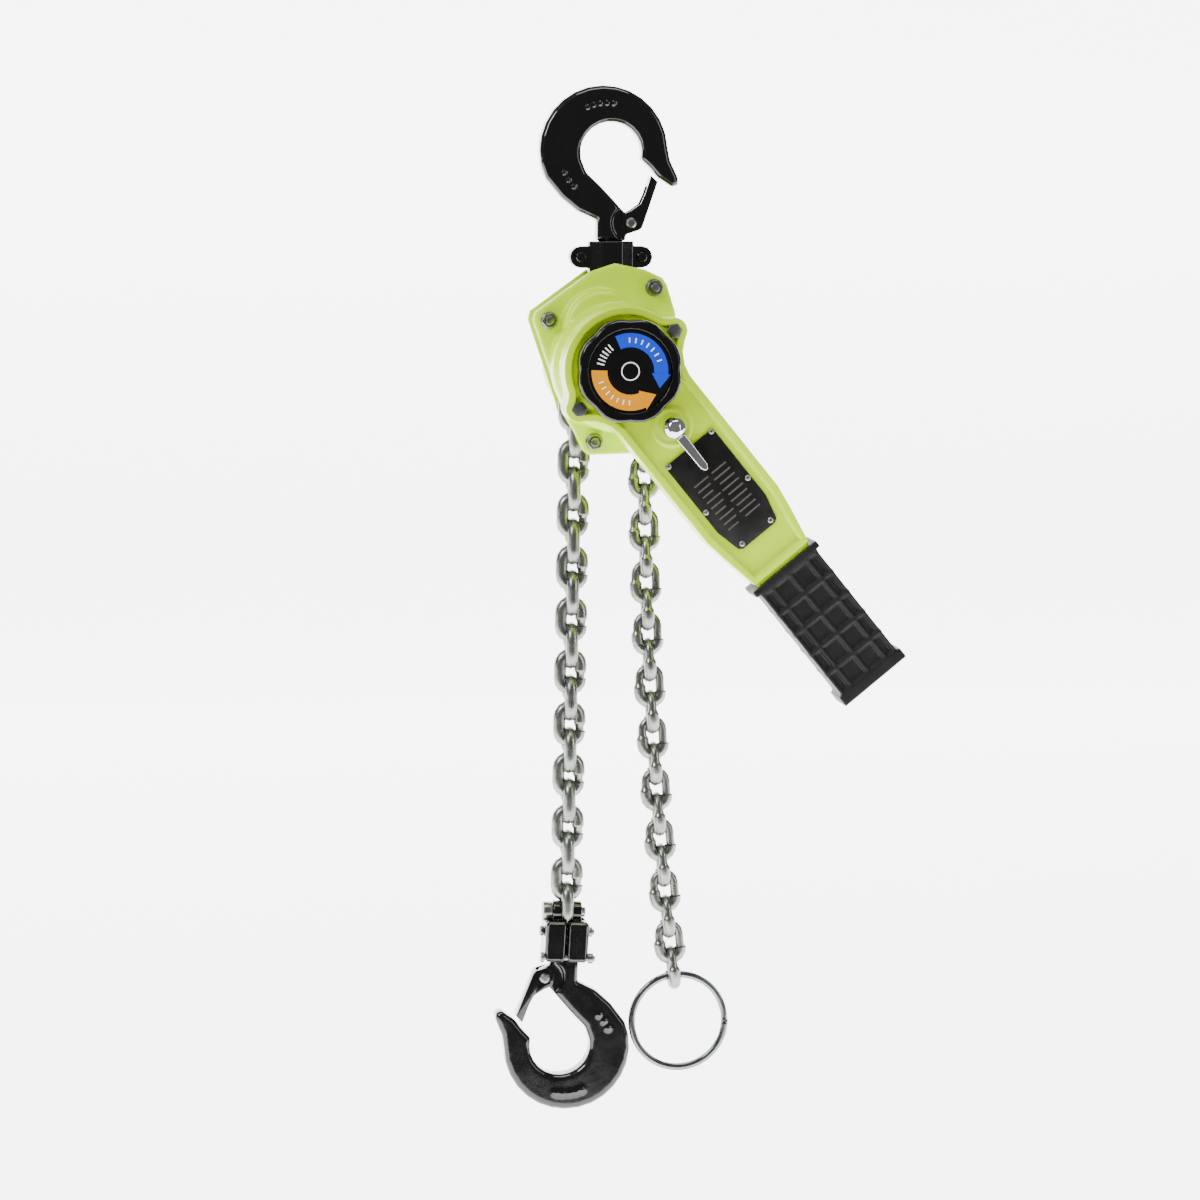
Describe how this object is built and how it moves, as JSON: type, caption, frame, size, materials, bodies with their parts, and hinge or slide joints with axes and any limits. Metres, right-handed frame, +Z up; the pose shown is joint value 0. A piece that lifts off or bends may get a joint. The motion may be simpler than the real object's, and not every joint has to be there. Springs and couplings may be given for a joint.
{
  "type": "lever chain hoist",
  "caption": "Lever-operated chain hoist with swivel hooks, ratchet lever, gear train, load brake, handwheel, load chain and pull ring.",
  "frame": {"origin": "saddle of the top hook, the point that the hoist hangs from, in the plane of the chain", "axes": "+Z up along the load line, +X towards the lever side, -Y towards the front with the lever and the handwheel"},
  "size_m": [0.2704, 0.1376, 0.7041],
  "materials": {
    "lime_enamel": "gloss",
    "black_enamel": "gloss",
    "zinc_plate": "satin",
    "machined_steel": "satin",
    "chrome": "polished",
    "friction_lining": "matte",
    "black_rubber": "matte",
    "printed_plate": "satin",
    "black_moulding": "gloss"
  },
  "bodies": {
    "top_hook": {"top_hook": "black_enamel", "top_latch_rivet": "zinc_plate"},
    "top_latch": {"top_latch": "black_enamel"},
    "yoke": {"yoke_front": "black_enamel", "yoke_rear": "black_enamel", "yoke_rivet_left": "black_enamel", "yoke_rivet_right": "black_enamel"},
    "frame": {"suspension_pin": "machined_steel", "side_plate_front": "lime_enamel", "side_plate_rear": "lime_enamel", "stay_bolt_upper": "zinc_plate", "stay_bolt_left": "zinc_plate", "stay_bolt_right": "zinc_plate", "cover_stud": "zinc_plate", "nut_upper": "zinc_plate", "nut_left": "zinc_plate", "nut_stud": "zinc_plate", "brake_cover": "lime_enamel", "gear_cover": "lime_enamel", "chain_guide": "machined_steel", "bearing_front": "machined_steel", "bearing_rear": "machined_steel", "chain_on_sheave": "zinc_plate"},
    "sheave": {"load_sheave": "machined_steel", "load_gear": "machined_steel"},
    "idler_left": {"idler_gear_left": "machined_steel"},
    "idler_right": {"idler_gear_right": "machined_steel"},
    "drive": {"pinion_shaft": "machined_steel", "brake_hub": "machined_steel", "friction_disc_inner": "friction_lining", "friction_disc_outer": "friction_lining", "drive_cog": "machined_steel", "handwheel": "black_moulding", "dial_plate": "printed_plate"},
    "ratchet": {"ratchet_disc": "machined_steel"},
    "pawl_upper": {"brake_pawl_upper": "machined_steel"},
    "pawl_lower": {"brake_pawl_lower": "machined_steel"},
    "lever": {"lever_front_shell": "lime_enamel", "lever_rear_shell": "lime_enamel", "lever_bolt_upper": "zinc_plate", "lever_bolt_lower": "zinc_plate", "grip": "black_rubber", "nameplate": "printed_plate"},
    "selector": {"selector_knob": "chrome", "change_pawl": "machined_steel"},
    "load_chain_1": {"load_chain_upper": "zinc_plate"},
    "load_chain_2": {"load_chain_middle": "zinc_plate"},
    "load_chain_3": {"load_chain_lower": "zinc_plate"},
    "free_chain_1": {"free_chain_upper": "zinc_plate"},
    "free_chain_2": {"free_chain_middle": "zinc_plate"},
    "free_chain_3": {"free_chain_lower": "zinc_plate"},
    "load_block": {"load_block_left": "black_enamel", "load_block_right": "black_enamel", "chain_pin": "zinc_plate", "block_bolt_upper": "zinc_plate", "block_bolt_lower": "zinc_plate"},
    "load_hook": {"load_hook": "black_enamel", "load_latch_rivet": "zinc_plate"},
    "load_latch": {"load_latch": "black_enamel"},
    "pull_ring": {"pull_ring": "chrome"}
  },
  "joints": [
    {"name": "yoke_swivel", "type": "hinge", "parent": "top_hook", "child": "yoke", "pos_m": [0, 0, -0.088], "axis": [0, 0, 1], "continuous": true},
    {"name": "body_swing", "type": "hinge", "parent": "yoke", "child": "frame", "pos_m": [0, 0, -0.104], "axis": [0, 1, 0], "range_deg": [-18, 18]},
    {"name": "top_latch_opens", "type": "hinge", "parent": "top_hook", "child": "top_latch", "pos_m": [0.0133, 0, -0.068], "axis": [0, -1, 0], "range_deg": [0, 38], "stiffness_Nm_per_rad": 0.05, "springref_deg": -20.05},
    {"name": "drive_spin", "type": "hinge", "parent": "frame", "child": "drive", "pos_m": [0, 0, -0.164], "axis": [0, 1, 0], "continuous": true},
    {"name": "idler_left_spin", "type": "hinge", "parent": "frame", "child": "idler_left", "pos_m": [-0.02125, 0, -0.164], "axis": [0, 1, 0], "continuous": true},
    {"name": "idler_right_spin", "type": "hinge", "parent": "frame", "child": "idler_right", "pos_m": [0.02125, 0, -0.164], "axis": [0, 1, 0], "continuous": true},
    {"name": "sheave_spin", "type": "hinge", "parent": "frame", "child": "sheave", "pos_m": [0, 0, -0.164], "axis": [0, 1, 0], "continuous": true},
    {"name": "ratchet_spin", "type": "hinge", "parent": "frame", "child": "ratchet", "pos_m": [0, 0, -0.164], "axis": [0, 1, 0], "continuous": true},
    {"name": "pawl_upper_lifts", "type": "hinge", "parent": "frame", "child": "pawl_upper", "pos_m": [-0.018, 0, -0.13282], "axis": [0, -1, 0], "range_deg": [0, 10], "stiffness_Nm_per_rad": 0.02, "springref_deg": -17.19},
    {"name": "pawl_lower_lifts", "type": "hinge", "parent": "frame", "child": "pawl_lower", "pos_m": [0.018, 0, -0.19518], "axis": [0, -1, 0], "range_deg": [0, 10], "stiffness_Nm_per_rad": 0.02, "springref_deg": -17.19},
    {"name": "lever_swing", "type": "hinge", "parent": "frame", "child": "lever", "pos_m": [0, 0, -0.164], "axis": [0, 1, 0], "continuous": true},
    {"name": "selector_turn", "type": "hinge", "parent": "lever", "child": "selector", "pos_m": [0.03077, 0, -0.20213], "axis": [0, 1, 0], "range_deg": [-25, 25]},
    {"name": "load_chain_top", "type": "hinge", "parent": "frame", "child": "load_chain_1", "pos_m": [-0.02439, 0, -0.18553], "axis": [0, 1, 0], "range_deg": [0, 8]},
    {"name": "load_chain_upper_bend", "type": "hinge", "parent": "load_chain_1", "child": "load_chain_2", "pos_m": [-0.02659, 0, -0.31141], "axis": [1, 0, 0], "range_deg": [-10, 10]},
    {"name": "load_chain_lower_bend", "type": "hinge", "parent": "load_chain_2", "child": "load_chain_3", "pos_m": [-0.02878, 0, -0.43729], "axis": [0, 1, 0], "range_deg": [0, 8]},
    {"name": "free_chain_top", "type": "hinge", "parent": "frame", "child": "free_chain_1", "pos_m": [0.0232, 0, -0.19587], "axis": [0, 1, 0], "range_deg": [-8, 0]},
    {"name": "free_chain_upper_bend", "type": "hinge", "parent": "free_chain_1", "child": "free_chain_2", "pos_m": [0.02558, 0, -0.33984], "axis": [1, 0, 0], "range_deg": [-10, 10]},
    {"name": "free_chain_lower_bend", "type": "hinge", "parent": "free_chain_2", "child": "free_chain_3", "pos_m": [0.03273, 0, -0.46553], "axis": [0, 1, 0], "range_deg": [-8, 0]},
    {"name": "load_block_swing", "type": "hinge", "parent": "load_chain_3", "child": "load_block", "pos_m": [-0.0306, 0, -0.54143], "axis": [0.9983, 0, -0.0576], "range_deg": [-15, 15]},
    {"name": "load_hook_swivel", "type": "hinge", "parent": "load_block", "child": "load_hook", "pos_m": [-0.03715, 0, -0.65504], "axis": [0.0576, 0, 0.9983], "continuous": true},
    {"name": "load_latch_opens", "type": "hinge", "parent": "load_hook", "child": "load_latch", "pos_m": [-0.04652, 0, -0.58638], "axis": [0, -1, 0], "range_deg": [0, 38], "stiffness_Nm_per_rad": 0.05, "springref_deg": -20.05},
    {"name": "pull_ring_swing", "type": "hinge", "parent": "free_chain_3", "child": "pull_ring", "pos_m": [0.04432, 0, -0.58842], "axis": [1, 0, 0], "range_deg": [-60, 60]}
  ],
  "couplings": [
    {"joint": "idler_left_spin", "follows": "drive_spin", "ratio": -0.41667},
    {"joint": "idler_right_spin", "follows": "drive_spin", "ratio": -0.41667},
    {"joint": "sheave_spin", "follows": "drive_spin", "ratio": 0.17361}
  ]
}
